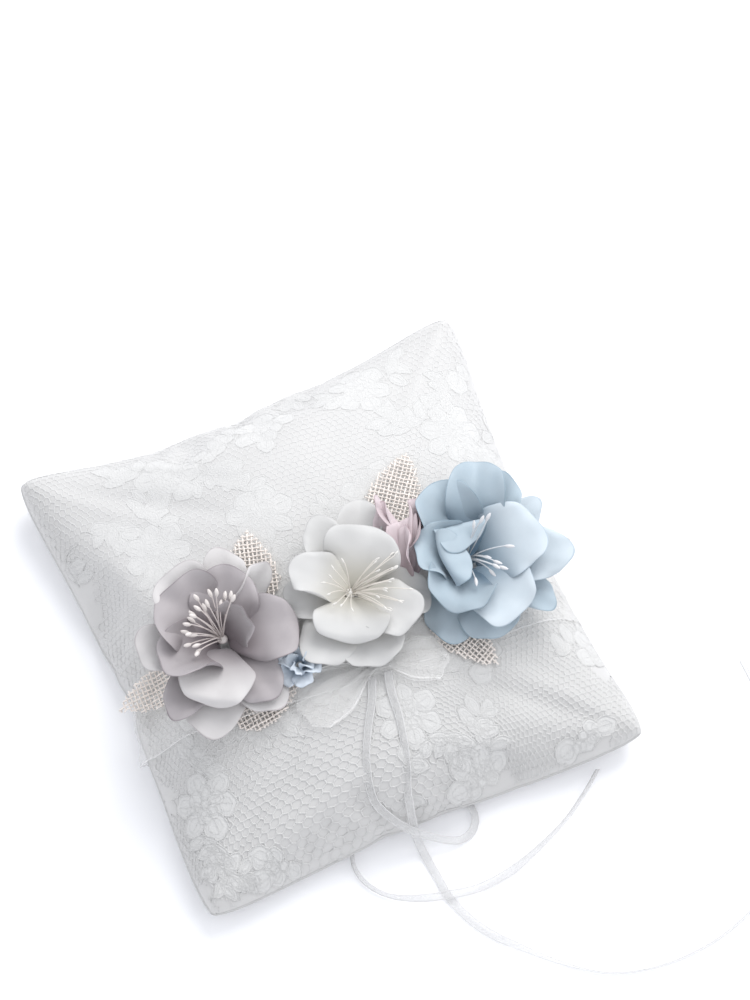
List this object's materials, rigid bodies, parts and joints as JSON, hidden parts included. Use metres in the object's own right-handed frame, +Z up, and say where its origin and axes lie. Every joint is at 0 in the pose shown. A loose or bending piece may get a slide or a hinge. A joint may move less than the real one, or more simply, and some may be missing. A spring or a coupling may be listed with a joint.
{
  "type": "ring bearer pillow",
  "caption": "Square lace-covered cushion tied with an organza sash, with fabric flowers and narrow ribbon tails for the rings.",
  "frame": {"origin": "middle of the flat face that the pillow rests on", "axes": "+X to the pillow's right edge, +Y to its back edge, +Z up from the table"},
  "size_m": [0.2578, 0.2996, 0.0811],
  "materials": {
    "filling": "lofty polyester fibre",
    "satin": "white satin",
    "lace": "white net lace with raised floral cording",
    "organza": "sheer white organza",
    "ribbon": "narrow sheer white ribbon with woven edges",
    "stamens": "pearl-tipped waxed threads",
    "burlap": "open-weave natural burlap",
    "lilac_petal": "matt moulded petal cloth, lilac grey",
    "white_petal": "matt moulded petal cloth, white",
    "blue_petal": "matt moulded petal cloth, pale blue",
    "pink_blossom": "crumpled petal cloth, dusty pink",
    "small_blossom": "petal cloth, slate blue"
  },
  "bodies": {
    "root": {"fibre_fill": "filling", "back_panel": "satin", "front_panel": "satin", "lace_overlay": "lace", "organza_sash": "organza", "bow_knot": "organza", "bow_loop_left": "organza", "bow_loop_right": "organza", "ring_ribbon_left": "ribbon", "ring_ribbon_right": "ribbon", "lilac_stamens": "stamens", "white_stamens": "stamens", "blue_stamens": "stamens", "pink_blossom": "pink_blossom", "small_blue_blossom": "small_blossom", "leaf_back_left": "burlap", "leaf_back_middle": "burlap", "leaf_left": "burlap", "leaf_right": "burlap", "leaf_front_right": "burlap", "leaf_front_left": "burlap", "lilac_petal_1": "lilac_petal", "lilac_petal_2": "lilac_petal", "lilac_petal_3": "lilac_petal", "lilac_petal_4": "lilac_petal", "lilac_petal_5": "lilac_petal", "lilac_petal_6": "lilac_petal", "lilac_petal_7": "lilac_petal", "lilac_petal_8": "lilac_petal", "lilac_petal_9": "lilac_petal", "lilac_petal_10": "lilac_petal", "lilac_petal_11": "lilac_petal", "lilac_petal_12": "lilac_petal", "lilac_petal_13": "lilac_petal", "lilac_petal_14": "lilac_petal", "white_petal_1": "white_petal", "white_petal_2": "white_petal", "white_petal_3": "white_petal", "white_petal_4": "white_petal", "white_petal_5": "white_petal", "white_petal_6": "white_petal", "white_petal_7": "white_petal", "white_petal_8": "white_petal", "white_petal_9": "white_petal", "white_petal_10": "white_petal", "blue_petal_1": "blue_petal", "blue_petal_2": "blue_petal", "blue_petal_3": "blue_petal", "blue_petal_4": "blue_petal", "blue_petal_5": "blue_petal", "blue_petal_6": "blue_petal", "blue_petal_7": "blue_petal", "blue_petal_8": "blue_petal", "blue_petal_9": "blue_petal", "blue_petal_10": "blue_petal", "blue_petal_11": "blue_petal", "blue_petal_12": "blue_petal", "blue_petal_13": "blue_petal", "blue_petal_14": "blue_petal"}
  },
  "joints": []
}
